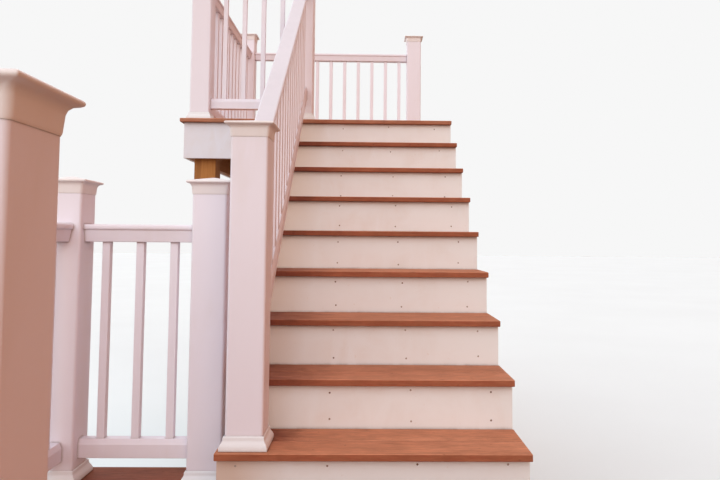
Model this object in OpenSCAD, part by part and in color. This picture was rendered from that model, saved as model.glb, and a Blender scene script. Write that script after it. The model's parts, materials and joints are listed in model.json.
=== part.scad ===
// Outdoor deck stairs: a low flight up to a landing, a straight main flight behind it
// and a railed upper deck, all standing on timber posts from level ground.
// Layout frame: X = 0 at the wall-side end of the treads, Y = 0 at the nosing of the
// main flight's first tread, Z = 0 at the ground. The model is then centred on its base.

/* [Steps] */
// Height of one step
rise = 184; // [170:1:196]
// Depth of one step, nosing to nosing
going = 254; // [240:1:300]
// Length of a main tread, side to side
tread_len = 1040; // [1000:5:1300]
// Length of a low tread, side to side
lower_tread_len = 1095; // [1050:5:1300]
// How far a tread stands out over its riser
nosing = 31; // [24:1:36]
// Thickness of a riser board
riser_t = 19; // [12:1:25]
// How far a riser stops short of the tread's ends
riser_inset = 3; // [0:1:10]

/* [Decking boards] */
// Width of a decking board
board_w = 139; // [120:1:145]
// Thickness of a decking board
board_t = 24; // [20:1:32]
// Drainage gap between boards
board_gap = 4; // [3:1:8]
// Gap between a tread and the riser behind it
tread_back_gap = 3; // [1:1:4]
// Radius of the boards' eased edges
board_edge_r = 3; // [1:0.5:6]

/* [Stringers] */
// Number of stringers in a flight
stringer_count = 4; // [3:1:5]
// Thickness of a stringer
stringer_t = 38; // [32:1:45]
// Depth of the plank that a stringer is cut from
stringer_depth = 286; // [270:1:330]
// Distance from the treads' wall-side end to the middle of the first stringer
wall_stringer_inset = 94; // [70:1:120]
// Distance from the treads' free end to the middle of the last stringer
free_stringer_inset = 50; // [48:1:100]
// Thickness of the boards that face the outer stringers
skirt_t = 19; // [12:1:22]

/* [Decks] */
// Width of both decks, from the wall side to the free edge
deck_w = 1770; // [1700:10:2200]
// Distance from the main flight's first nosing to the landing's front edge
landing_run = 1490; // [1300:10:1800]
// How far the landing reaches back under the main flight
landing_back = 410; // [370:5:430]
// Depth of the upper deck, front to back
upper_depth = 1855; // [1500:5:2600]
// How far deck boards stand out over the side and back fascias
deck_overhang = 22; // [15:1:30]
// Thickness of joists and headers
joist_t = 38; // [32:1:45]
// Height of joists and headers
joist_h = 235; // [184:1:286]
// Widest spacing of joists, centre to centre
joist_pitch = 400; // [300:10:450]
// Thickness of the fascia boards
fascia_t = 19; // [12:1:25]
// Height of the fascia boards
fascia_h = 235; // [200:1:286]
// Side of a square support post
support_w = 140; // [89:1:190]

/* [Railing posts] */
// Side of a square post sleeve
sleeve_w = 127; // [104:1:130]
// Radius of a sleeve's corners
sleeve_r = 9; // [3:1:14]
// Height of a sleeve above the deck or tread that it stands on
sleeve_h = 1083; // [1050:1:1150]
// Height of the sleeves at the landing's front edge
front_sleeve_h = 1053; // [1040:1:1150]
// Distance from the upper deck's edges to the middle of a post
upper_post_inset = 115; // [95:1:150]
// Distance from the landing's edges to the middle of a post
landing_post_inset = 110; // [95:1:150]
// Distance from a nosing back to a post's front face
newel_setback = 34; // [26:1:70]
// Distance from the treads' free end to the middle of a newel on a tread
newel_inset = 90; // [86:1:140]
// Distance from the treads' free end to the middle of the top newel
top_newel_inset = 64; // [60:1:140]
// Gap between the main treads' free end and the landing post beside them
side_post_gap = 25; // [23:1:60]
// Distance from the wall side to the middle of the wall-side back post
wall_post_inset = 127; // [95:1:150]

/* [Post caps and bases] */
// Clearance between a sleeve and what slips over it
slip_gap = 0.3; // [0.2:0.1:1]
// How far a cap's eave stands out from the sleeve
cap_overhang = 21; // [16:1:40]
// Thickness of the eave's rounded edge
cap_lip = 10; // [5:1:15]
// Radius of the eave's corners
eave_r = 3; // [1:0.5:8]
// Rise of the cap's low pyramid above its eave
cap_rise = 16; // [8:1:60]
// Height of the cove between the collar and the eave
cove_h = 14; // [8:1:18]
// Height of the collar and cove under the eave
collar_h = 41; // [25:1:60]
// Thickness of the collar
collar_t = 2.5; // [1.5:0.5:5]
// Height of the bevel along the collar's lower edge
collar_bevel = 4; // [3:1:6]
// How much the collar spreads towards the cove
collar_spread = 2; // [1:0.5:3]
// How far a base moulding stands out from the sleeve
base_out = 16; // [15:1:30]
// Height of a base moulding
base_h = 46; // [40:1:80]
// Height of a base moulding's lower step
base_step_h = 15; // [8:1:20]
// Height of the ogee between the lower step and the band
base_ogee_h = 20; // [5:1:22]
// How far the band above the ogee stands out from the sleeve
base_band_out = 5; // [4:1:12]
// Bevel along a base moulding's edges
base_bevel = 2; // [1:0.5:4]

/* [Rails and balusters] */
// Height of a level top rail above its deck
rail_top = 929; // [860:1:960]
// Gap under a level bottom rail
rail_gap = 77; // [60:1:100]
// Height of the stair rails above the line of the nosings
stair_rail_top = 900; // [860:1:930]
// Gap between the line of the nosings and a stair bottom rail
stair_rail_gap = 113; // [80:1:130]
// Width of the top rail's cap
rail_cap_w = 79; // [72:1:100]
// Thickness of the top rail's cap
rail_cap_t = 21; // [15:1:30]
// Radius of the top rail cap's edges
rail_cap_r = 8; // [4:1:9]
// Width of the top rail's body at its foot
rail_body_w = 50; // [44:1:58]
// How much wider the body is on each side under its cap
rail_body_taper = 8; // [2:1:9]
// Height of the top rail's body under its cap
rail_body_h = 44; // [30:1:50]
// Width of the bottom rail
bottom_rail_w = 50; // [44:1:70]
// Height of the bottom rail's upright faces
bottom_rail_h = 48; // [40:1:60]
// Height of the bottom rail's sloped shoulders
bottom_rail_bevel = 20; // [10:1:30]
// Side of a square baluster
baluster_w = 29; // [25:1:38]
// Bevel along the rails' lower edges
rail_bevel = 2; // [1:0.5:4]
// Spacing of balusters, centre to centre, measured along the rail
baluster_pitch = 126; // [100:1:127]
// Widest gap allowed beside a post
end_gap_max = 95; // [92:1:100]
// How deep a baluster's end is let into a level rail
baluster_let_in = 12; // [5:1:15]

/* [Hidden] */
// Treads in the main and the low flight, each tread a node of its own
main_treads = 8;
lower_treads = 3;

slope = rise / going;
slope_angle = atan(slope);

// Deck levels and the flights' first nosings
landing_z = (lower_treads + 1) * rise;
upper_z = landing_z + (main_treads + 1) * rise;
main_z = landing_z + rise;
lower_y = -landing_run - lower_treads * going;
upper_y = main_treads * going;
upper_back = upper_y + upper_depth;

// Planes that the frames share with the flights
header_back = nosing + riser_t;
frame_left = -deck_w + deck_overhang + fascia_t;
frame_back = deck_overhang + fascia_t;

// Stringer: height of the wood left below a notch, measured upright
step_depth = rise * going / sqrt(rise * rise + going * going);
throat = (stringer_depth - step_depth) / cos(slope_angle);

// Post places
upper_left_x = -deck_w + upper_post_inset;
landing_left_x = -deck_w + landing_post_inset;
side_x = -tread_len - side_post_gap - sleeve_w / 2;
lower_stair_x = -lower_tread_len + newel_inset;
setback = newel_setback + sleeve_w / 2;
landing_front_y = -landing_run + landing_post_inset;
landing_back_y = landing_back - landing_post_inset;
upper_front_y = upper_y + setback;
upper_back_y = upper_back - upper_post_inset;

// Posts, as [x, y, level of the boards under it, sleeve height]
main_newel = [-tread_len + newel_inset, setback, main_z, sleeve_h];
top_newel = [-tread_len + top_newel_inset, upper_front_y, upper_z, sleeve_h];
lower_newel = [lower_stair_x, lower_y + setback, rise, sleeve_h];
upper_posts = [
    [upper_left_x, upper_front_y, upper_z, sleeve_h],
    top_newel,
    [upper_left_x, upper_back_y, upper_z, sleeve_h],
    [-wall_post_inset, upper_back_y, upper_z, sleeve_h]
];
landing_posts = [
    [landing_left_x, landing_front_y, landing_z, front_sleeve_h],
    [lower_stair_x, landing_front_y, landing_z, front_sleeve_h],
    [landing_left_x, landing_back_y, landing_z, sleeve_h],
    [side_x, landing_back_y, landing_z, sleeve_h]
];
newels = [main_newel, lower_newel];
all_posts = concat(upper_posts, landing_posts, newels);

white = [0.93, 0.91, 0.90];
brown = [0.60, 0.30, 0.22];
timber = [0.72, 0.55, 0.33];

// Points of a rectangle with rounded corners, centred on the origin
function rounded_rect(w, h, r, n = 4) = [
    for (c = [[1, 1, 0], [-1, 1, 90], [-1, -1, 180], [1, -1, 270]], i = [0:n])
        [
            c[0] * (w / 2 - r) + r * cos(c[2] + 90 * i / n),
            c[1] * (h / 2 - r) + r * sin(c[2] + 90 * i / n)
        ]
];

// Moves the layout frame so that the origin is the middle of the base
module in_frame() {
    translate([deck_w / 2, -(lower_y + upper_back) / 2, 0]) children();
}

// A decking board along X with its top at z = 0 and its front edge at y = 0
module board(x0, x1, width) {
    translate([x0, width / 2, -board_t / 2])
        rotate([90, 0, 90])
            linear_extrude(x1 - x0)
                polygon(rounded_rect(width, board_t, board_edge_r));
}

// A square-edged timber between two corners
module timber_block(from, to) {
    translate(from) cube(to - from);
}

// One tread of two boards, with its nosing at y = 0 and its top at z = 0
module tread(len) {
    rear_y = board_w + board_gap;
    board(-len, 0, board_w);
    translate([0, rear_y, 0])
        board(-len, 0, going + nosing - tread_back_gap - rear_y);
}

// Places step k of a flight that starts at first nosing y0 and level z0
module at_step(y0, z0, k) {
    in_frame() translate([0, y0 + k * going, z0 + k * rise]) children();
}

// Risers of a flight of n treads, the one under the deck above included
module risers(y0, z0, n, len) {
    for (k = [0:n])
        at_step(y0, z0, k)
            timber_block(
                [-len + riser_inset, nosing, k == 0 ? -rise : -rise - board_t],
                [-riser_inset, nosing + riser_t, -board_t]
            );
}

// Side outline of a notched stringer, in the flight's own y and z
function notched_outline(n) = concat(
    [[header_back, -rise]],
    [
        for (k = [0:n - 1], end = [0, 1])
            [header_back + (k + end) * going, k * rise - board_t]
    ],
    [
        [header_back + n * going, (n - 1) * rise - board_t - throat],
        [
            header_back + n * going - ((n - 1) * rise - board_t - throat + rise) / slope,
            -rise
        ]
    ]
);

// A notched plank of thickness t whose middle is at x
module notched_plank(n, x, t) {
    translate([x - t / 2, 0, 0])
        rotate([90, 0, 90])
            linear_extrude(t)
                polygon(notched_outline(n));
}

module stringers(y0, z0, n, len) {
    step = (len - wall_stringer_inset - free_stringer_inset) / (stringer_count - 1);
    for (i = [0:stringer_count - 1])
        at_step(y0, z0, 0)
            notched_plank(n, -wall_stringer_inset - i * step, stringer_t);
}

// White boards against the outer faces of the outer stringers
module stair_skirts(y0, z0, n, len) {
    reach = (stringer_t + skirt_t) / 2;
    for (x = [-wall_stringer_inset + reach, -len + free_stringer_inset - reach])
        at_step(y0, z0, 0) notched_plank(n, x, skirt_t);
}

// Boards of a deck from edge y0 to y1. A ripped one fills what whole boards leave,
// behind the front one.
module deck_boards(y0, y1, z) {
    pitch = board_w + board_gap;
    whole = floor((y1 - y0 + board_gap) / pitch);
    rest = y1 - y0 - whole * pitch;
    in_frame() translate([0, y0, z]) {
        board(-deck_w, 0, board_w);
        if (rest > 4 * board_edge_r)
            translate([0, pitch, 0]) board(-deck_w, 0, rest);
        for (i = [1:whole - 1])
            translate([0, y1 - y0 + board_gap - i * pitch, 0])
                board(-deck_w, 0, board_w);
    }
}

// Joists of a deck, the two outer ones included, between the headers
module joists(y0, y1, z) {
    clear = -frame_left - joist_t;
    spaces = ceil(clear / joist_pitch);
    top = z - board_t;
    for (i = [0:spaces])
        in_frame()
            timber_block(
                [frame_left + i * clear / spaces, y0 + header_back + joist_t, top - joist_h],
                [frame_left + i * clear / spaces + joist_t, y1 - frame_back - joist_t, top]
            );
}

// Headers across the joists' ends at the front and back of a deck
module headers(y0, y1, z) {
    top = z - board_t;
    for (y = [y0 + header_back, y1 - frame_back - joist_t])
        in_frame()
            timber_block([frame_left, y, top - joist_h], [0, y + joist_t, top]);
}

// White boards on the front header, beside a flight as wide as len, and on the back one
module end_fascias(y0, y1, z, len) {
    top = z - board_t;
    left = -deck_w + deck_overhang;
    in_frame() {
        timber_block(
            [left, y0 + nosing, top - fascia_h],
            [-len, y0 + nosing + fascia_t, top]
        );
        timber_block(
            [left, y1 - deck_overhang - fascia_t, top - fascia_h],
            [0, y1 - deck_overhang, top]
        );
    }
}

// White board on the free side of a deck, between the end fascias
module side_fascia(y0, y1, z) {
    top = z - board_t;
    left = -deck_w + deck_overhang;
    in_frame()
        timber_block(
            [left, y0 + nosing + fascia_t, top - fascia_h],
            [left + fascia_t, y1 - deck_overhang - fascia_t, top]
        );
}

// Square timber posts inside the corners of a deck's frame
module support_posts(y0, y1, z) {
    front = y0 + header_back + joist_t;
    back = y1 - frame_back - joist_t - support_w;
    for (x = [frame_left + joist_t, -joist_t - support_w], y = [front, back])
        in_frame()
            timber_block([x, y, 0], [x + support_w, y + support_w, z - board_t]);
}

// A square post sleeve with rounded corners, at post p
module sleeve(p) {
    in_frame() translate([p[0], p[1], p[2]])
        linear_extrude(p[3])
            polygon(rounded_rect(sleeve_w, sleeve_w, sleeve_r));
}

// Turns a profile of [half width, height] into a square mitred moulding
module square_moulding(profile) {
    rotate([0, 0, 45])
        rotate_extrude($fn = 4)
            polygon([for (p = profile) [p[0] * sqrt(2), p[1]]]);
}

// Surface through square rings with rounded corners, each [half width, height, corner
// radius]. The first ring is closed by a flat face and the last by a point at height apex.
module pointed_loft(rings, apex) {
    points = [
        for (r = rings)
            each [for (q = rounded_rect(2 * r[0], 2 * r[0], r[2])) [q[0], q[1], r[1]]]
    ];
    m = len(points) / len(rings);
    last = len(points) - m;
    sides = [
        for (i = [0:m:last - m], j = [0:m - 1])
            let (k = (j + 1) % m)
            each [[i + j, i + m + j, i + m + k], [i + j, i + m + k, i + k]]
    ];
    top = [for (j = [0:m - 1]) [last + j, len(points), last + (j + 1) % m]];
    polyhedron(concat(points, [[0, 0, apex]]), concat([[for (j = [0:m - 1]) j]], sides, top));
}

// Low pyramid cap with a bullnosed eave, over a coved collar that slips on the sleeve
module post_cap() {
    in = sleeve_w / 2 + slip_gap;
    collar_out = in + collar_t;
    collar_r = sleeve_r + collar_t;
    neck = collar_out + collar_spread;
    nose_r = cap_lip / 2;
    soffit = sleeve_w / 2 + cap_overhang - nose_r;
    steps = 3;
    pointed_loft(concat(
        [
            [in, 0, sleeve_r],
            [in, -collar_h, sleeve_r],
            [in + collar_t / 4, -collar_h, sleeve_r],
            [collar_out, -collar_h + collar_bevel, collar_r]
        ],
        [
            for (i = [0:steps])
                let (a = 90 * i / steps)
                [
                    neck + (soffit - neck) * (1 - cos(a)),
                    -cove_h * (1 - sin(a)),
                    collar_r + (eave_r - collar_r) * i / steps
                ]
        ],
        [
            for (i = [1:steps])
                let (a = 180 * i / steps - 90)
                [soffit + nose_r * cos(a), nose_r * (1 + sin(a)), eave_r]
        ]
    ), cap_lip + cap_rise);
}

// Moulding round a sleeve's foot: a lower step, an ogee and a band
module post_base() {
    in = sleeve_w / 2 + slip_gap;
    out = sleeve_w / 2 + base_out;
    band = sleeve_w / 2 + base_band_out;
    curve = out - base_bevel - band;
    points = 5;
    square_moulding(concat(
        [[in, 0], [out, 0], [out, base_step_h - base_bevel], [out - base_bevel, base_step_h]],
        [
            for (i = [1:points])
                [
                    band + curve * (1 + cos(180 * i / points)) / 2,
                    base_step_h + base_ogee_h * i / points
                ]
        ],
        [
            [band, base_h - 2 * base_bevel],
            [band - base_bevel, base_h - base_bevel],
            [in + base_bevel / 2, base_h],
            [in, base_h]
        ]
    ));
}

// Top rail section: a rounded cap over a tapered body, its top at height 0
module top_rail_section() {
    translate([0, -rail_cap_t / 2])
        polygon(rounded_rect(rail_cap_w, rail_cap_t, rail_cap_r));
    foot = rail_body_w / 2;
    shoulder = foot + rail_body_taper;
    low = -rail_cap_t - rail_body_h;
    polygon([
        [-shoulder, -rail_cap_t / 2], [-shoulder, -rail_cap_t - rail_bevel],
        [-foot, low + rail_bevel], [-foot + rail_bevel, low],
        [foot - rail_bevel, low], [foot, low + rail_bevel],
        [shoulder, -rail_cap_t - rail_bevel], [shoulder, -rail_cap_t / 2]
    ]);
}

// Bottom rail section: upright faces under sloped shoulders, its base at height 0
module bottom_rail_section() {
    body = bottom_rail_w / 2;
    neck = baluster_w / 2 + rail_bevel;
    high = bottom_rail_h + bottom_rail_bevel;
    polygon([
        [-body, rail_bevel], [-body + rail_bevel, 0], [body - rail_bevel, 0], [body, rail_bevel],
        [body, bottom_rail_h], [neck, high], [-neck, high], [-body, bottom_rail_h]
    ]);
}

// A run of section along y, cut upright at y = 0 and y = run, that climbs by pitch
// and moves sideways by drift for each unit of y
module sloped_run(run, pitch, drift) {
    turn = atan(drift);
    angle = atan(pitch * cos(turn));
    length = run / (cos(angle) * cos(turn));
    spare = 2 * (rail_cap_t + rail_body_h);
    side = rail_cap_w + abs(drift) * run;
    intersection() {
        rotate([0, 0, -turn])
            rotate([angle, 0, 0])
                translate([0, length + spare, 0])
                    rotate([90, 0, 0])
                        linear_extrude(length + 2 * spare)
                            children();
        translate([-side, 0, -spare])
            cube([2 * side, run, run * pitch + 2 * spare]);
    }
}

// A rail bay along y, from y = 0 to run, over a line that climbs by pitch and moves
// sideways by drift. top is the top rail's height above that line and gap the bottom
// rail's.
module rail_bay(run, pitch, drift, top, gap) {
    upright = 1 / cos(atan(pitch));
    step = baluster_pitch / upright;
    // The fewest balusters that leave no wider gap than allowed beside the posts
    n = ceil((run - 2 * end_gap_max - baluster_w) / step) + 1;
    first = (run - (n - 1) * step) / 2;
    // Ends of the balusters, kept inside the rails on a slope as well
    lean = pitch * baluster_w / 2;
    low = gap + (bottom_rail_h + bottom_rail_bevel) * upright - baluster_let_in - lean;
    high = top - (rail_cap_t + rail_body_h) * upright + baluster_let_in + lean;
    union() {
        translate([0, 0, top]) sloped_run(run, pitch, drift) top_rail_section();
        translate([0, 0, gap]) sloped_run(run, pitch, drift) bottom_rail_section();
        for (y = [for (i = [0:n - 1]) first + i * step])
            translate([drift * y - baluster_w / 2, y - baluster_w / 2, low + pitch * y])
                cube([baluster_w, baluster_w, high - low]);
    }
}

// A level bay between the facing sides of posts a and b, along x or y
module level_bay(a, b) {
    along_x = a[1] == b[1];
    run = (along_x ? b[0] - a[0] : b[1] - a[1]) - sleeve_w;
    in_frame() translate([a[0], a[1], a[2]])
        rotate([0, 0, along_x ? -90 : 0])
            translate([0, sleeve_w / 2, 0])
                rail_bay(run, 0, 0, rail_top, rail_gap);
}

// A stair bay from post a up to post b, over the line of the nosings
module stair_bay(a, b) {
    drift = (b[0] - a[0]) / (b[1] - a[1]);
    half = sleeve_w / 2;
    in_frame()
        translate([a[0] + drift * half, a[1] + half, a[2] + (setback + half) * slope])
            rail_bay(b[1] - a[1] - sleeve_w, slope, drift, stair_rail_top, stair_rail_gap);
}

module main_tread(k) {
    color(brown) at_step(0, main_z, k - 1) tread(tread_len);
}

module lower_tread(k) {
    color(brown) at_step(lower_y, rise, k - 1) tread(lower_tread_len);
}

module main_risers() {
    color(white) risers(0, main_z, main_treads, tread_len);
}

module lower_risers() {
    color(white) risers(lower_y, rise, lower_treads, lower_tread_len);
}

module main_stringers() {
    color(timber) stringers(0, main_z, main_treads, tread_len);
}

module lower_stringers() {
    color(timber) stringers(lower_y, rise, lower_treads, lower_tread_len);
}

module main_stair_skirts() {
    color(white) stair_skirts(0, main_z, main_treads, tread_len);
}

module lower_stair_skirts() {
    color(white) stair_skirts(lower_y, rise, lower_treads, lower_tread_len);
}

module landing_boards() {
    color(brown) deck_boards(-landing_run, landing_back, landing_z);
}

module landing_joists() {
    color(timber) joists(-landing_run, landing_back, landing_z);
}

module landing_headers() {
    color(timber) headers(-landing_run, landing_back, landing_z);
}

module landing_end_fascias() {
    color(white) end_fascias(-landing_run, landing_back, landing_z, lower_tread_len);
}

module landing_side_fascia() {
    color(white) side_fascia(-landing_run, landing_back, landing_z);
}

module landing_support_posts() {
    color(timber) support_posts(-landing_run, landing_back, landing_z);
}

module upper_boards() {
    color(brown) deck_boards(upper_y, upper_back, upper_z);
}

module upper_joists() {
    color(timber) joists(upper_y, upper_back, upper_z);
}

module upper_headers() {
    color(timber) headers(upper_y, upper_back, upper_z);
}

module upper_end_fascias() {
    color(white) end_fascias(upper_y, upper_back, upper_z, tread_len);
}

module upper_side_fascia() {
    color(white) side_fascia(upper_y, upper_back, upper_z);
}

module upper_support_posts() {
    color(timber) support_posts(upper_y, upper_back, upper_z);
}

module upper_post_sleeves() {
    color(white) for (p = upper_posts) sleeve(p);
}

module landing_post_sleeves() {
    color(white) for (p = landing_posts) sleeve(p);
}

module newel_sleeves() {
    color(white) for (p = newels) sleeve(p);
}

module post_caps() {
    color(white)
        for (p = all_posts)
            in_frame() translate([p[0], p[1], p[2] + p[3]]) post_cap();
}

module post_bases() {
    color(white)
        for (p = all_posts)
            in_frame() translate([p[0], p[1], p[2]]) post_base();
}

module main_stair_rail() {
    color(white) stair_bay(main_newel, top_newel);
}

module lower_stair_rail() {
    color(white) stair_bay(lower_newel, landing_posts[1]);
}

module upper_front_rail() {
    color(white) level_bay(upper_posts[0], upper_posts[1]);
}

module upper_left_rail() {
    color(white) level_bay(upper_posts[0], upper_posts[2]);
}

module upper_back_rail() {
    color(white) level_bay(upper_posts[2], upper_posts[3]);
}

module landing_back_rail() {
    color(white) level_bay(landing_posts[2], landing_posts[3]);
}

module landing_left_rail() {
    color(white) level_bay(landing_posts[0], landing_posts[2]);
}

module landing_front_rail() {
    color(white) level_bay(landing_posts[0], landing_posts[1]);
}

main_tread(1);  // tread_1
main_tread(2);  // tread_2
main_tread(3);  // tread_3
main_tread(4);  // tread_4
main_tread(5);  // tread_5
main_tread(6);  // tread_6
main_tread(7);  // tread_7
main_tread(8);  // tread_8
lower_tread(1);  // lower_tread_1
lower_tread(2);  // lower_tread_2
lower_tread(3);  // lower_tread_3
main_risers();
lower_risers();
main_stringers();
lower_stringers();
main_stair_skirts();
lower_stair_skirts();
landing_boards();
landing_joists();
landing_headers();
landing_end_fascias();
landing_side_fascia();
landing_support_posts();
upper_boards();
upper_joists();
upper_headers();
upper_end_fascias();
upper_side_fascia();
upper_support_posts();
upper_post_sleeves();
landing_post_sleeves();
newel_sleeves();
post_caps();
post_bases();
main_stair_rail();
lower_stair_rail();
upper_front_rail();
upper_left_rail();
upper_back_rail();
landing_back_rail();
landing_left_rail();
landing_front_rail();
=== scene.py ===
"""Looks of the wooden deck stairs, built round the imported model, in metres.

X runs from the railed side of the flights to the other side, Y up the flights and Z up from the
ground. Every node is shown by a copy with eased edges and a procedural finish, and the small
screws are added on the risers.
"""
import json
import math
import random

import bmesh
import bpy
from mathutils import Matrix, Vector


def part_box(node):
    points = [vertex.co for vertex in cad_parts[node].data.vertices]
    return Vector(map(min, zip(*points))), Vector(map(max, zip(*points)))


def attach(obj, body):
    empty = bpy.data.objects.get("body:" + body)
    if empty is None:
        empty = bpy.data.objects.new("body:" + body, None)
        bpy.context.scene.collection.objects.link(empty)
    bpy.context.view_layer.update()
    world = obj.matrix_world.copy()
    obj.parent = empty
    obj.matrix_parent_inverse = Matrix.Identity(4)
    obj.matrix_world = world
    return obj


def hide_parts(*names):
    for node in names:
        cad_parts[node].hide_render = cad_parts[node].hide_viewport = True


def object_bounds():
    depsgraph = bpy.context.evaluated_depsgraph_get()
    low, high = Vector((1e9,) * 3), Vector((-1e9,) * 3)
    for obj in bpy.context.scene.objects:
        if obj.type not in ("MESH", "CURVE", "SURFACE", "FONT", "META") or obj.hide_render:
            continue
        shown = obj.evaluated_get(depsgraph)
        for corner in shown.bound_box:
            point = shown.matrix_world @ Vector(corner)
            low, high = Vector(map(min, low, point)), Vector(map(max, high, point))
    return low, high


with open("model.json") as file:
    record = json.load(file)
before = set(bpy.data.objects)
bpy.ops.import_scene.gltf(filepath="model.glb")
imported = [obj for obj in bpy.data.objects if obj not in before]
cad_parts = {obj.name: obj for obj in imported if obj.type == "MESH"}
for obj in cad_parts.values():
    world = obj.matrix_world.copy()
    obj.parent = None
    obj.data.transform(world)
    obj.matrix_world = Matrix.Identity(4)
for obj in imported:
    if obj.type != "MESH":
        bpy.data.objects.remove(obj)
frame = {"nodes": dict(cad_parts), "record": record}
cad_low, cad_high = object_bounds()

# Each node's material slot, and how the name of its eased copy ends
SLOTS = {part["node"]: part["material_slot"] for part in frame["record"]["subparts"]}
SUFFIXES = {
    "decking": "_boards",
    "white_trim": "_pvc",
    "white_rail": "_vinyl",
    "treated_timber": "_sawn",
}

# Camera, fitted to the photograph: place in metres, angles in degrees
CAMERA_PLACE = (0.3332, -2.9609, 1.6219)
CAMERA_YAW = 0.935
CAMERA_PITCH = 3.378
CAMERA_ROLL = 0.465
IMAGE_W, IMAGE_H = 720, 480
FOCAL_PX = 645.4
PRINCIPAL_PX = (377, 200)
SENSOR_MM = 36

# Steps, measured on the first two main treads
tread_low, tread_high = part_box("tread_1")
next_tread_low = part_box("tread_2")[0]
GOING = next_tread_low.y - tread_low.y
RISE = next_tread_low.z - tread_low.z
BOARD_T = tread_high.z - tread_low.z

# Eased edges: width of the rounding in metres, and its number of segments
BOARD_EASE = (0.0025, 2)
TIMBER_EASE = (0.0025, 2)
PVC_EASE = (0.0010, 2)
RAIL_EASE = (0.0030, 3)
SLEEVE_EASE = (0.0038, 4)
CAP_EASE = (0.0022, 3)
BASE_EASE = (0.0008, 1)

# Which edges are eased: turns of the surface in degrees, sizes in metres
SHARP_TURN = 50
MOULDING_TURN = 55
EAVE_TURNS = (40, 75)
POST_CORNER_LENGTH = 0.2
MOULDING_STEP_HEIGHT = 0.040

# Least share of an upright edge's length that is height, and most z of an upright face's normal
UPRIGHT_SHARE = 0.999
UPRIGHT_NORMAL_Z = 0.02

# Copies of the nodes' meshes: distance in metres, turns in degrees
WELD = 1e-5
FLAT_TURN = 1
SMOOTH_TURN = 34

# Heads of the screws that hold the risers to the stringers
SCREW_R = 0.0036
SCREW_FRONT_R = 0.7 * SCREW_R
SCREW_PROUD = 0.0006
SCREW_SIDES = 16
SCREW_RECESS_RIM = 0.35 * SCREW_R
SCREW_RECESS_DEPTH = 0.8 * SCREW_PROUD
SAME_Y = 1e-6

# Places of the screws on a riser, and how far they stray from them at random
SCREW_BELOW_TOP = 0.024
SCREW_ABOVE_BOTTOM = 0.028
SCREW_STRAY_ACROSS = 0.003
SCREW_STRAY_UP = 0.008

# How far the lowest riser's screws stand from the stringers' middles, and how much less each
# riser above it
SCREW_DRIFT = 0.016
SCREW_DRIFT_PER_STEP = 0.004

# White plastics: linear colours
VINYL = (0.80, 0.755, 0.835)
VINYL_BASES = (0.79, 0.79, 0.83)
VINYL_CAPS = (0.80, 0.75, 0.76)
# Painted shade on the handrail's top
VINYL_SHADED_TOP = (0.66, 0.64, 0.71)
VINYL_SOILED = (0.68, 0.60, 0.57)
PVC = (0.79, 0.78, 0.79)
# The fascias' PVC darker and bluer: painted shade under the decks' edges
PVC_FASCIAS_SHADED = (0.735, 0.725, 0.80)
# Stains on the PVC, and painted shade beside the railing
PVC_SOIL_AND_SHADE = (0.64, 0.51, 0.44)
# Grime in crevices, with painted shade there
GRIME_AND_SHADE = (0.30, 0.23, 0.20)

# Composite boards: linear colours, and what the colours of some boards are multiplied by: the
# landing's darker as painted shade, the upper deck's lighter as painted light, and tread 1's
BOARD_FRESH = (0.40, 0.140, 0.074)
# Tops weathered paler, with a painted sheen of the sky on them
BOARD_FADED_SHEEN = (0.60, 0.257, 0.149)
BOARD_DARK = (0.27, 0.076, 0.041)
# Painted highlight on the boards' eased edges
BOARD_EDGE_HIGHLIGHT = (0.62, 0.27, 0.17)
# Painted shade beside the railing
BOARD_SHADED = (0.17, 0.044, 0.028)
LANDING_SHADE_TONE = (0.50, 0.38, 0.38)
UPPER_LIGHT_TONE = (1.15, 1.45, 1.65)
TREAD_1_TONE = (1.09, 1.11, 1.10)

# Share of the painted highlight in the middle of a board's eased edge
BOARD_EDGE_HIGHLIGHT_SHARE = 0.65

# Treated pine and screws: linear colours
PINE_LIGHT = (0.44, 0.18, 0.046)
PINE_DARK = (0.22, 0.075, 0.020)
SCREW_RUSTY = (0.17, 0.085, 0.055)
SCREW_PAINTED = (0.48, 0.40, 0.36)

# Painted shade beside the railing, in metres from the treads' railed end: full up to the first
# distance and none past the second
TREAD_1_SHADE = (0.16, 0.27)
TREADS_SHADE = (0.10, 0.36)
RISERS_SHADE = (0.05, 0.24)

# On tread 1 the painted shade starts behind the front edge and grows to its full amount over a
# short way
SHADE_SETBACK = 0.06
SHADE_FADE = 0.09

# Range that most values of a noise lie in
NOISE_LOW, NOISE_HIGH = 0.3, 0.7

# Crevices, where grime and painted shade go: number of rays, and how open a place is that
# counts as deep and as open
CREVICE_SAMPLES = 8
CREVICE_DEEP, CREVICE_OPEN = 0.45, 0.95

# Floor: sizes in metres, and linear colours as it is seen and as it lights the stairs
FLOOR_SIZE = 120
FLOOR_DROP = 0.0005
FLOOR_SEEN = (0.86, 0.965, 1.0)
FLOOR_SEEN_DARKER = tuple(0.97 * c for c in FLOOR_SEEN)
FLOOR_BOUNCE = (0.30, 0.20, 0.13)

# Light from all round: each place from the camera's left, 0, to its right, 1, with its colour
LEFT_LIGHT_AT, LEFT_LIGHT = 0.0, (0.80, 0.82, 0.84)
MIDDLE_LIGHT_AT, MIDDLE_LIGHT = 0.38, (0.56, 0.56, 0.58)
RIGHT_LIGHT_AT, RIGHT_LIGHT = 0.72, (0.46, 0.10, 0.0)
BACKDROP = (0.93, 0.93, 0.93)

# Tints of the lamps
COOL_WHITE = (0.68, 0.90, 1.0)
PALE_BLUE = (0.80, 0.93, 1.0)
WARM_WHITE = (1.0, 0.95, 0.86)
AMBER = (1.0, 0.81, 0.63)
WHITE = (1.0, 1.0, 1.0)


def colour(rgb):
    """An RGB triple with full alpha."""
    return (*rgb, 1.0)


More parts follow.
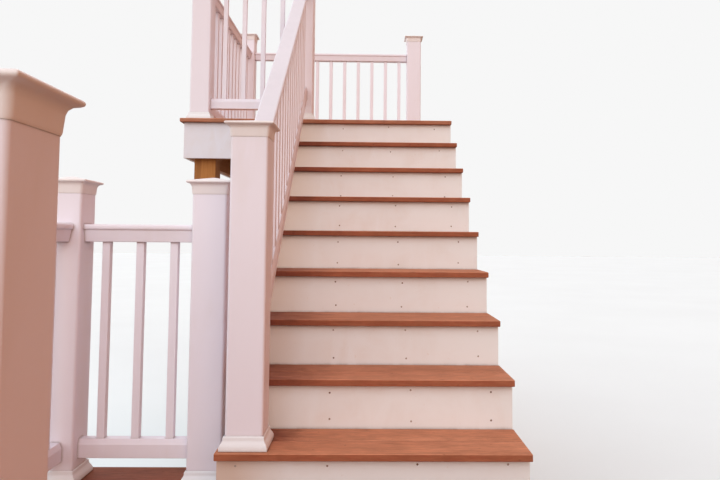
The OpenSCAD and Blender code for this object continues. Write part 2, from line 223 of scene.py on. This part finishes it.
class Nodes:
    """Short calls for the nodes of a tree."""

    def __init__(self, tree):
        self.tree = tree

    def add(self, kind, **settings):
        """A new node with its own settings, such as a Math node's operation."""
        made = self.tree.nodes.new(kind)
        for name, value in settings.items():
            setattr(made, name, value)
        return made

    def plug(self, socket, value):
        """Links an output to socket, or sets its constant."""
        if isinstance(value, bpy.types.NodeSocket):
            self.tree.links.new(value, socket)
        else:
            socket.default_value = value

    def math(self, operation, a, b):
        """The result of a Math node."""
        made = self.add("ShaderNodeMath", operation=operation)
        self.plug(made.inputs[0], a)
        self.plug(made.inputs[1], b)
        return made.outputs[0]

    def spread(self, value, low, high, to_low=0.0, to_high=1.0):
        """Maps value from low..high to to_low..to_high, clamped."""
        made = self.add("ShaderNodeMapRange")
        self.plug(made.inputs["Value"], value)
        made.inputs["From Min"].default_value = low
        made.inputs["From Max"].default_value = high
        made.inputs["To Min"].default_value = to_low
        made.inputs["To Max"].default_value = to_high
        return made.outputs["Result"]

    def graded(self, noise, at_low, at_high):
        """Maps the usual range of a noise to at_low..at_high."""
        return self.spread(noise, NOISE_LOW, NOISE_HIGH, at_low, at_high)

    def axes(self, vector):
        """The X, Y and Z of a vector."""
        made = self.add("ShaderNodeSeparateXYZ")
        self.plug(made.inputs[0], vector)
        return made.outputs

    def joined(self, kind, values):
        """Three values as the vector or the colour that a node of this kind makes of them."""
        made = self.add(kind)
        for socket, value in zip(made.inputs, values):
            self.plug(socket, value)
        return made.outputs[0]

    def seen_directly(self):
        """1 for rays that come from the camera, straight or by a reflection."""
        rays = self.add("ShaderNodeLightPath").outputs
        reflected = self.math("MAXIMUM", rays["Is Glossy Ray"], rays["Is Transmission Ray"])
        return self.math("MAXIMUM", rays["Is Camera Ray"], reflected)


class Finish(Nodes):
    """A material under construction."""

    def __init__(self, name, roughness, specular=0.5):
        self.material = bpy.data.materials.new(name)
        self.material.use_nodes = True
        super().__init__(self.material.node_tree)
        self.shader = self.tree.nodes["Principled BSDF"]
        self.shader.inputs["Roughness"].default_value = roughness
        self.shader.inputs["Specular IOR Level"].default_value = specular
        self.place = self.add("ShaderNodeTexCoord").outputs["Object"]

    def mapped(self, place, scale=(1, 1, 1), rotation=(0, 0, 0), offset=(0, 0, 0)):
        """Coordinates scaled along each axis, turned and then moved."""
        made = self.add("ShaderNodeMapping")
        self.plug(made.inputs["Vector"], place)
        made.inputs["Scale"].default_value = scale
        made.inputs["Rotation"].default_value = rotation
        self.plug(made.inputs["Location"], offset)
        return made.outputs["Vector"]

    def noise(self, scale, detail, roughness=0.55, distortion=0.0, offset=(0, 0, 0), place=None):
        """Noise with its own scale along each axis, of the object's coordinates or of place."""
        place = self.place if place is None else place
        made = self.add("ShaderNodeTexNoise")
        self.plug(made.inputs["Vector"], self.mapped(place, scale, offset=offset))
        made.inputs["Scale"].default_value = 1.0
        made.inputs["Detail"].default_value = detail
        made.inputs["Roughness"].default_value = roughness
        made.inputs["Distortion"].default_value = distortion
        return made.outputs["Fac"]

    def mix(self, factor, a, b, blend="MIX"):
        """Colour a where factor is 0 and b, or its blend with a, where it is 1."""
        made = self.add("ShaderNodeMix", data_type="RGBA", blend_type=blend)
        self.plug(made.inputs["Factor"], factor)
        self.plug(made.inputs["A"], colour(a) if isinstance(a, tuple) else a)
        self.plug(made.inputs["B"], colour(b) if isinstance(b, tuple) else b)
        return made.outputs["Result"]

    def bump(self, height, distance, strength, normal=None):
        """A normal that follows height, on top of another bump's normal."""
        made = self.add("ShaderNodeBump")
        made.inputs["Strength"].default_value = strength
        made.inputs["Distance"].default_value = distance
        self.plug(made.inputs["Height"], height)
        if normal is not None:
            self.plug(made.inputs["Normal"], normal)
        return made.outputs["Normal"]

    def each_piece(self):
        """A value from 0 to 1 that differs for each separate board or post."""
        return self.add("ShaderNodeNewGeometry").outputs["Random Per Island"]

    def piece_offset(self, piece, reaches):
        """A vector that differs for each separate board or post, up to reaches."""
        moves = [self.math("MULTIPLY", piece, reach) for reach in reaches]
        return self.joined("ShaderNodeCombineXYZ", moves)

    def uneven_x(self, cloud, stray):
        """The object's x, moved by cloud, up to stray either way."""
        return self.math("ADD", self.axes(self.place)["X"], self.graded(cloud, -stray, stray))

    def crevices(self, reach):
        """1 deep in a corner between surfaces and 0 at reach from it, for grime and painted
        shade there.
        """
        made = self.add("ShaderNodeAmbientOcclusion", samples=CREVICE_SAMPLES)
        made.inputs["Distance"].default_value = reach
        return self.spread(made.outputs["AO"], CREVICE_DEEP, CREVICE_OPEN, 1.0, 0.0)

    def facing_up(self):
        """1 on upward faces and 0 on upright ones."""
        normal = self.add("ShaderNodeNewGeometry").outputs["Normal"]
        return self.spread(self.axes(normal)["Z"], 0.2, 0.9)

    def finish(self, base, normal=None, roughness=None):
        """The material, with its colour and what else is given."""
        self.plug(self.shader.inputs["Base Color"], base)
        if normal is not None:
            self.plug(self.shader.inputs["Normal"], normal)
        if roughness is not None:
            self.plug(self.shader.inputs["Roughness"], roughness)
        return self.material


def composite_boards(name, tone=(1.0, 1.0, 1.0), shade_reach=None, shade_front=None):
    """Red-brown composite decking: fine lengthwise grain, weathered paler on top with a painted
    sheen of the sky there, and a painted highlight along the eased edges.

    shade_reach is where painted shade lies beside the railing: the x up to which the boards are
    darkest and the x at which that ends. shade_front is the y behind which it lies."""
    f = Finish(name, roughness=0.74, specular=0.12)
    piece = f.each_piece()
    offset = f.piece_offset(piece, (7.0, 3.0, 5.0))
    bands = f.noise((3.0, 26, 26), detail=3, roughness=0.5, distortion=0.2, offset=offset)
    streaks = f.noise((16, 105, 105), detail=5, roughness=0.62, distortion=0.25, offset=offset)
    grain = f.noise((34, 420, 420), detail=3, roughness=0.6, distortion=0.3, offset=offset)
    weather = f.noise((9, 18, 18), detail=5, roughness=0.66, distortion=0.4, offset=offset)
    lines = f.noise((6, 210, 210), detail=2, roughness=0.5, distortion=0.1, offset=offset)
    specks = f.noise((40, 70, 70), detail=1, roughness=0.5, offset=offset)

    faded_sheen = f.mix(f.spread(bands, 0.25, 0.75, 0.15, 0.60), BOARD_FADED_SHEEN, BOARD_FRESH)
    fresh = f.mix(f.graded(streaks, 0.0, 1.0), BOARD_FRESH, BOARD_DARK)
    up = f.facing_up()
    # Upward faces weathered paler, with a painted sheen of the sky there
    base = f.mix(up, fresh, faded_sheen)
    # up times 1 - up grows to a quarter along an eased edge, and is 0 on the faces beside it
    edge = f.math("MULTIPLY", up, f.math("SUBTRACT", 1.0, up))
    # A painted highlight along the boards' eased edges
    base = f.mix(f.math("MULTIPLY", edge, 4 * BOARD_EDGE_HIGHLIGHT_SHARE), base, BOARD_EDGE_HIGHLIGHT)
    # Painted shade beside the railing
    if shade_reach is not None:
        amount = f.spread(f.uneven_x(weather, stray=0.04), *shade_reach, 0.88, 0.0)
        if shade_front is not None:
            behind = f.spread(f.axes(f.place)["Y"], shade_front, shade_front + SHADE_FADE)
            amount = f.math("MULTIPLY", amount, behind)
        base = f.mix(amount, base, BOARD_SHADED)

    shade = f.spread(streaks, 0.28, 0.72, 0.84, 1.14)
    for factor in (
        f.graded(grain, 0.88, 1.10),
        f.graded(weather, 0.84, 1.12),
        f.spread(lines, 0.60, 0.72, 1.00, 0.86),
        f.spread(specks, 0.73, 0.80, 1.00, 0.62),
        # Grime and painted shade in the corners
        f.spread(f.crevices(reach=0.014), 0.10, 1.00, 1.00, 0.50),
        f.spread(piece, 0.0, 1.0, 0.95, 1.05),
    ):
        shade = f.math("MULTIPLY", shade, factor)
    # tone darkens the landing's boards as painted shade and lightens the upper deck's as painted
    # light
    shades = [f.math("MULTIPLY", shade, share) for share in tone]
    base = f.mix(1.0, base, f.joined("ShaderNodeCombineColor", shades), blend="MULTIPLY")
    normal = f.bump(streaks, distance=0.0010, strength=0.6)
    normal = f.bump(grain, distance=0.0006, strength=0.8, normal=normal)
    return f.finish(base, normal, f.graded(grain, 0.66, 0.82))


def pvc_trim(name, fresh=PVC, shade_reach=None):
    """White cellular PVC boards with faint stains, and grime with painted shade in the crevices.

    shade_reach is where painted shade lies beside the railing: the x up to which it is darkest
    and the x at which that ends."""
    f = Finish(name, roughness=0.48, specular=0.4)
    cloud = f.noise((2.6, 2.6, 4.5), detail=5, roughness=0.62, distortion=0.5)
    smears = f.noise((9, 9, 3.2), detail=4, roughness=0.6, distortion=0.8)
    specks = f.noise((60, 60, 60), detail=2, roughness=0.5)
    waves = f.noise((7, 7, 60), detail=3)

    stains = f.math("MULTIPLY", f.spread(cloud, 0.42, 0.78), f.spread(smears, 0.35, 0.75))
    base = f.mix(f.math("MULTIPLY", stains, 0.55), fresh, PVC_SOIL_AND_SHADE)
    base = f.mix(f.spread(specks, 0.70, 0.80, 0.0, 0.35), base, PVC_SOIL_AND_SHADE)
    # Painted shade beside the railing
    if shade_reach is not None:
        amount = f.spread(f.uneven_x(cloud, stray=0.02), *shade_reach, 1.0, 0.0)
        base = f.mix(amount, base, PVC_SOIL_AND_SHADE)
    smeared = f.graded(smears, 0.2, 0.8)
    # Grime and painted shade in the crevices
    base = f.mix(f.math("MULTIPLY", f.crevices(reach=0.012), smeared), base, GRIME_AND_SHADE)
    normal = f.bump(waves, distance=0.0006, strength=0.35)
    return f.finish(base, normal, f.graded(cloud, 0.42, 0.60))


def vinyl(name, fresh, shaded_top=False):
    """White vinyl posts and rails, satin, with a little dirt, grime with painted shade in the
    crevices, and painted shade on a handrail's top.
    """
    f = Finish(name, roughness=0.50, specular=0.2)
    cloud = f.noise((3.2, 3.2, 2.0), detail=4, roughness=0.6, distortion=0.4)
    smears = f.noise((14, 14, 4), detail=3, roughness=0.6)
    waves = f.noise((16, 16, 2.5), detail=2)

    soiled = f.math("MULTIPLY", f.spread(cloud, 0.45, 0.80), f.spread(smears, 0.4, 0.8))
    base = f.mix(f.math("MULTIPLY", soiled, 0.5), fresh, VINYL_SOILED)
    # Painted shade on the handrail's upward faces
    if shaded_top:
        top_shade = f.math("MULTIPLY", f.facing_up(), f.spread(smears, 0.2, 0.6, 0.8, 1.0))
        base = f.mix(top_shade, base, VINYL_SHADED_TOP)
    # Grime and painted shade in the crevices
    base = f.mix(f.math("MULTIPLY", f.crevices(reach=0.010), 0.6), base, GRIME_AND_SHADE)
    normal = f.bump(waves, distance=0.0008, strength=0.25)
    return f.finish(base, normal, f.graded(cloud, 0.44, 0.58))


def pine(name, rotation):
    """Treated pine with growth rings round each piece's own pith.

    rotation is what brings the piece's length upright."""
    f = Finish(name, roughness=0.66, specular=0.3)
    offset = f.piece_offset(f.each_piece(), (1.3, 0.9, 2.7))
    upright = f.mapped(f.place, rotation=rotation, offset=offset)
    warp = f.noise((9, 9, 0.7), detail=3, roughness=0.5, place=upright)
    fibre = f.noise((260, 260, 6), detail=3, roughness=0.6, place=upright)
    wave = f.add("ShaderNodeTexWave", wave_type="RINGS", rings_direction="Z")
    f.plug(wave.inputs["Vector"], f.mapped(upright, (1, 1, 0.06)))
    wave.inputs["Scale"].default_value = 26
    wave.inputs["Distortion"].default_value = 3.5
    wave.inputs["Detail"].default_value = 2
    wave.inputs["Detail Scale"].default_value = 0.6
    rings = wave.outputs["Fac"]

    late = f.math("MULTIPLY", rings, f.graded(warp, 0.5, 1.0))
    base = f.mix(f.spread(late, 0.25, 0.85), PINE_LIGHT, PINE_DARK)
    base = f.mix(f.spread(fibre, 0.35, 0.7, 0.0, 0.35), base, PINE_DARK)
    normal = f.bump(rings, distance=0.0006, strength=0.5)
    normal = f.bump(fibre, distance=0.0005, strength=0.6, normal=normal)
    return f.finish(base, normal, f.graded(fibre, 0.58, 0.78))


def screw_metal():
    """Dull coated screw heads, some with paint left on them."""
    f = Finish("screw_metal", roughness=0.55)
    f.shader.inputs["Metallic"].default_value = 0.3
    spots = f.noise((900, 900, 900), detail=2)
    base = f.mix(f.spread(f.each_piece(), 0.55, 0.95), SCREW_RUSTY, SCREW_PAINTED)
    base = f.mix(f.spread(spots, 0.35, 0.65, 0.0, 0.5), base, SCREW_RUSTY)
    return f.finish(base)


def add_object(name, data):
    """A new object in the scene."""
    made = bpy.data.objects.new(name, data)
    bpy.context.scene.collection.objects.link(made)
    return made


def mesh_object(name, mesh, material):
    """A new object made from a bmesh, which is then freed."""
    data = bpy.data.meshes.new(name)
    mesh.to_mesh(data)
    mesh.free()
    data.materials.append(material)
    return add_object(name, data)


def welded(node):
    """A node's mesh as a bmesh, with its doubled points merged."""
    mesh = bmesh.new()
    mesh.from_mesh(frame["nodes"][node].data)
    bmesh.ops.remove_doubles(mesh, verts=mesh.verts, dist=WELD)
    return mesh


def turn_over(edge):
    """How far the surface turns over an outer edge, in degrees, and 0 for an inner edge."""
    return math.degrees(edge.calc_face_angle(0.0)) if edge.is_convex else 0


def sharp_edge(edge):
    """True of a sharp outer edge."""
    return turn_over(edge) > SHARP_TURN


def upright_corner(edge):
    """True of a post's or a baluster's long upright corner."""
    run = edge.verts[1].co - edge.verts[0].co
    upright = abs(run.z) > UPRIGHT_SHARE * run.length
    return upright and run.length > POST_CORNER_LENGTH and sharp_edge(edge)


def eave_edge(edge):
    """True of an edge along the upright band of a cap's eave."""
    least, most = EAVE_TURNS
    beside_band = min(abs(f.normal.z) for f in edge.link_faces) < UPRIGHT_NORMAL_Z
    return beside_band and least < turn_over(edge) < most


def face_height(face):
    """How far a face reaches from its lowest point to its highest."""
    levels = [v.co.z for v in face.verts]
    return max(levels) - min(levels)


def moulding_edge(edge):
    """True of a base moulding's outer edge, but not of its thin top lip or of its hole.

    Only the walls of the hole are taller than the moulding's steps."""
    tallest = max(face_height(f) for f in edge.link_faces)
    return turn_over(edge) > MOULDING_TURN and tallest < MOULDING_STEP_HEIGHT


def eased_copy(node, material, chosen, ease, clamp=True):
    """Shows a welded copy of a node's mesh, whose chosen edges are rounded, in its place."""
    width, segments = ease
    mesh = welded(node)
    bmesh.ops.dissolve_limit(
        mesh, angle_limit=math.radians(FLAT_TURN), verts=mesh.verts, edges=mesh.edges
    )
    edges = [e for e in mesh.edges if len(e.link_faces) == 2 and chosen(e)]
    bmesh.ops.bevel(
        mesh, geom=edges, offset=width, offset_type="OFFSET", segments=segments,
        profile=0.5, affect="EDGES", clamp_overlap=clamp,
    )
    # Well-shaped triangles leave no sliver in a face that has a hole or notches
    bmesh.ops.triangulate(
        mesh, faces=[f for f in mesh.faces if len(f.verts) > 4], ngon_method="BEAUTY"
    )
    piece = mesh_object(node + SUFFIXES[SLOTS[node]], mesh, material)
    for polygon in piece.data.polygons:
        polygon.use_smooth = True
    piece.data.set_sharp_from_angle(angle=math.radians(SMOOTH_TURN))
    normals = piece.modifiers.new("flat_faces", "WEIGHTED_NORMAL")
    normals.keep_sharp = True
    normals.weight = 100
    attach(piece, "root")
    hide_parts(node)


def solid_boxes(node):
    """The boxes of a node's separate solids, as (low, high) pairs."""
    mesh = welded(node)
    left = set(mesh.verts)
    boxes = []
    while left:
        group, queue = set(), [left.pop()]
        while queue:
            vert = queue.pop()
            group.add(vert)
            for edge in vert.link_edges:
                other = edge.other_vert(vert)
                if other in left:
                    left.remove(other)
                    queue.append(other)
        corners = [[v.co[axis] for v in group] for axis in range(3)]
        boxes.append((Vector(map(min, corners)), Vector(map(max, corners))))
    mesh.free()
    return boxes


def stringer_middles(node):
    """The x of the middle of each stringer."""
    return sorted((low.x + high.x) / 2 for low, high in solid_boxes(node))


def riser_faces(node):
    """Front y, bottom and top of the part of each riser that shows."""
    faces = []
    for low, high in solid_boxes(node):
        bottom = max(low.z, high.z - RISE + BOARD_T)
        faces.append((low.y, bottom, high.z))
    return sorted(faces)


def screw_head(mesh, place):
    """Adds a screw's low cone, and sinks the middle of its front face for the driver."""
    head = bmesh.ops.create_cone(
        mesh, cap_ends=True, segments=SCREW_SIDES,
        radius1=SCREW_R, radius2=SCREW_FRONT_R, depth=SCREW_PROUD,
        matrix=Matrix.Translation(place) @ Matrix.Rotation(math.radians(90), 4, "X"),
    )
    verts = head["verts"]
    front = min(v.co.y for v in verts)
    for face in {f for v in verts for f in v.link_faces if len(f.verts) == SCREW_SIDES}:
        if abs(face.calc_center_median().y - front) < SAME_Y:
            bmesh.ops.inset_region(mesh, faces=[face], thickness=SCREW_RECESS_RIM)
            bmesh.ops.translate(mesh, verts=face.verts, vec=(0, SCREW_RECESS_DEPTH, 0))


def riser_screws(flight, material):
    """Trim screws in each riser of a flight, two at each stringer."""
    risers = flight + "_risers"
    centres = stringer_middles(flight + "_stringers")
    mesh = bmesh.new()
    chance = random.Random(risers)
    for step, (front, bottom, top) in enumerate(riser_faces(risers)):
        drift = SCREW_DRIFT - step * SCREW_DRIFT_PER_STEP
        for x in centres:
            for z in (bottom + SCREW_ABOVE_BOTTOM, top - SCREW_BELOW_TOP):
                screw_head(mesh, (
                    x + drift + chance.uniform(-SCREW_STRAY_ACROSS, SCREW_STRAY_ACROSS),
                    front - SCREW_PROUD / 2,
                    z + chance.uniform(-SCREW_STRAY_UP, SCREW_STRAY_UP),
                ))
    piece = mesh_object(flight + "_riser_screws", mesh, material)
    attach(piece, "root")


def nodes_in(slot):
    """The nodes that take their finish from a material slot."""
    return [node for node in SLOTS if SLOTS[node] == slot]


def from_railed_end(distances):
    """The x of places at some distances from the treads' railed end."""
    return [tread_low.x + distance for distance in distances]


def show_decking():
    """Treads and deck boards."""
    low_treads = composite_boards("composite_treads")
    # The main treads carry painted shade beside the railing
    treads = composite_boards("composite_treads_by_rail", shade_reach=from_railed_end(TREADS_SHADE))
    others = {
        # The landing's boards darkened as painted shade, the upper deck's lightened as painted
        # light
        "landing_boards": composite_boards("composite_landing", LANDING_SHADE_TONE),
        "upper_boards": composite_boards("composite_upper", UPPER_LIGHT_TONE),
        # Tread 1 carries painted shade beside the railing, behind its front edge
        "tread_1": composite_boards(
            "composite_tread_1", TREAD_1_TONE, from_railed_end(TREAD_1_SHADE),
            shade_front=tread_low.y + SHADE_SETBACK,
        ),
    }
    for node in nodes_in("decking"):
        usual = low_treads if node.startswith("lower") else treads
        eased_copy(node, others.get(node, usual), sharp_edge, BOARD_EASE)


def show_trim():
    """Risers, skirts and fascias."""
    plain = pvc_trim("pvc_trim")
    # The fascias take a darker PVC as painted shade
    fascias = pvc_trim("pvc_fascias", PVC_FASCIAS_SHADED)
    # The main risers carry painted shade beside the railing
    risers = pvc_trim("pvc_risers", shade_reach=from_railed_end(RISERS_SHADE))
    for node in nodes_in("white_trim"):
        if "fascia" in node:
            finish = fascias
        elif node == "main_risers":
            finish = risers
        else:
            finish = plain
        eased_copy(node, finish, sharp_edge, PVC_EASE)


def show_railing():
    """Sleeves, caps, base mouldings and rail bays."""
    plain = vinyl("white_vinyl", VINYL)
    bases = vinyl("white_vinyl_bases", VINYL_BASES)
    caps = vinyl("white_vinyl_caps", VINYL_CAPS)
    # The stair rail's vinyl has painted shade on its top
    handrail = vinyl("white_vinyl_handrail", VINYL, shaded_top=True)
    for node in nodes_in("white_rail"):
        if node == "post_caps":
            eased_copy(node, caps, eave_edge, CAP_EASE, clamp=False)
        elif node == "post_bases":
            eased_copy(node, bases, moulding_edge, BASE_EASE)
        elif node.endswith("sleeves"):
            eased_copy(node, plain, upright_corner, SLEEVE_EASE)
        elif node.endswith("stair_rail"):
            eased_copy(node, handrail, upright_corner, RAIL_EASE)
        else:
            eased_copy(node, plain, upright_corner, RAIL_EASE)


def show_timber():
    """Stringers, joists, headers and support posts."""
    quarter = math.radians(90)
    slope = math.atan2(RISE, GOING)
    finishes = {
        "posts": pine("pine_posts", (0, 0, 0)),
        "joists": pine("pine_joists", (quarter, 0, 0)),
        "headers": pine("pine_headers", (0, quarter, 0)),
        "stringers": pine("pine_stringers", (quarter - slope, 0, 0)),
    }
    for node in nodes_in("treated_timber"):
        kind = node.split("_")[-1]
        eased_copy(node, finishes[kind], sharp_edge, TIMBER_EASE)


def show_screws():
    """Screws in the risers of both flights."""
    metal = screw_metal()
    for flight in ("main", "lower"):
        riser_screws(flight, metal)


def build_floor():
    """A plain pale floor at ground level."""
    f = Finish("pale_floor", roughness=0.9, specular=0.2)
    cloud = f.noise((0.4, 0.4, 0.4), detail=3)
    pale = f.mix(f.graded(cloud, 0.0, 1.0), FLOOR_SEEN, FLOOR_SEEN_DARKER)
    material = f.finish(f.mix(f.seen_directly(), FLOOR_BOUNCE, pale))
    mesh = bmesh.new()
    bmesh.ops.create_grid(mesh, x_segments=1, y_segments=1, size=FLOOR_SIZE / 2)
    floor = mesh_object("floor", mesh, material)
    floor.location.z = cad_low.z - FLOOR_DROP


def build_camera():
    """The photograph's camera."""
    yaw, pitch, roll = (math.radians(a) for a in (CAMERA_YAW, CAMERA_PITCH, CAMERA_ROLL))
    ahead = Vector((
        math.sin(yaw) * math.cos(pitch), math.cos(yaw) * math.cos(pitch), math.sin(pitch)
    ))
    right = Vector((math.cos(yaw), -math.sin(yaw), 0))
    up = right.cross(ahead)
    right, up = (
        right * math.cos(roll) + up * math.sin(roll),
        up * math.cos(roll) - right * math.sin(roll),
    )
    data = bpy.data.cameras.new("camera")
    data.sensor_width = SENSOR_MM
    data.lens = FOCAL_PX / IMAGE_W * SENSOR_MM
    data.shift_x = (IMAGE_W / 2 - PRINCIPAL_PX[0]) / IMAGE_W
    data.shift_y = (PRINCIPAL_PX[1] - IMAGE_H / 2) / IMAGE_W
    camera = add_object("camera", data)
    camera.matrix_world = (
        Matrix.Translation(CAMERA_PLACE) @ Matrix((right, up, -ahead)).transposed().to_4x4()
    )
    bpy.context.scene.camera = camera


def add_lamp(name, azimuth, elevation, spread, level, tint):
    """A distant soft lamp. Its azimuth is 0 behind the camera and 90 to the camera's right.

    A white face turned to the lamp shows the level."""
    data = bpy.data.lights.new(name, "SUN")
    data.angle = math.radians(spread)
    data.energy = math.pi * level
    data.color = tint
    side, height = math.radians(azimuth), math.radians(elevation)
    towards = Vector((
        math.sin(side) * math.cos(height), -math.cos(side) * math.cos(height), math.sin(height)
    ))
    add_object(name, data).rotation_euler = towards.to_track_quat("Z", "Y").to_euler()


def build_lamps():
    """Cool light from the front and above, warmer light from both sides, white from behind."""
    add_lamp("key", azimuth=0, elevation=35, spread=50, level=0.30, tint=COOL_WHITE)
    add_lamp("front_fill", azimuth=24, elevation=16, spread=40, level=0.25, tint=AMBER)
    add_lamp("left_fill", azimuth=-58, elevation=20, spread=60, level=0.32, tint=WARM_WHITE)
    add_lamp("sky", azimuth=0, elevation=86, spread=80, level=0.12, tint=PALE_BLUE)
    add_lamp("back_fill", azimuth=-160, elevation=24, spread=70, level=0.34, tint=WHITE)


def build_world():
    """Soft light from all round, warm from the right, behind a plain pale backdrop."""
    world = bpy.data.worlds.new("world")
    bpy.context.scene.world = world
    world.use_nodes = True
    nodes = Nodes(world.node_tree)
    direction = nodes.add("ShaderNodeTexCoord").outputs["Generated"]
    tint = nodes.add("ShaderNodeValToRGB")
    nodes.plug(tint.inputs["Fac"], nodes.spread(nodes.axes(direction)["X"], -1.0, 1.0))
    tint.color_ramp.interpolation = "EASE"
    left, right = tint.color_ramp.elements
    left.position, left.color = LEFT_LIGHT_AT, colour(LEFT_LIGHT)
    right.position, right.color = RIGHT_LIGHT_AT, colour(RIGHT_LIGHT)
    tint.color_ramp.elements.new(MIDDLE_LIGHT_AT).color = colour(MIDDLE_LIGHT)
    around = world.node_tree.nodes["Background"]
    nodes.plug(around.inputs["Color"], tint.outputs["Color"])
    backdrop = nodes.add("ShaderNodeBackground")
    nodes.plug(backdrop.inputs["Color"], colour(BACKDROP))
    shown = nodes.add("ShaderNodeMixShader")
    nodes.plug(shown.inputs["Fac"], nodes.seen_directly())
    nodes.plug(shown.inputs[1], around.outputs[0])
    nodes.plug(shown.inputs[2], backdrop.outputs[0])
    nodes.plug(world.node_tree.nodes["World Output"].inputs["Surface"], shown.outputs[0])


build_camera()
show_decking()
show_trim()
show_railing()
show_timber()
show_screws()
build_floor()
build_lamps()
build_world()
bpy.context.scene.view_settings.view_transform = "Standard"
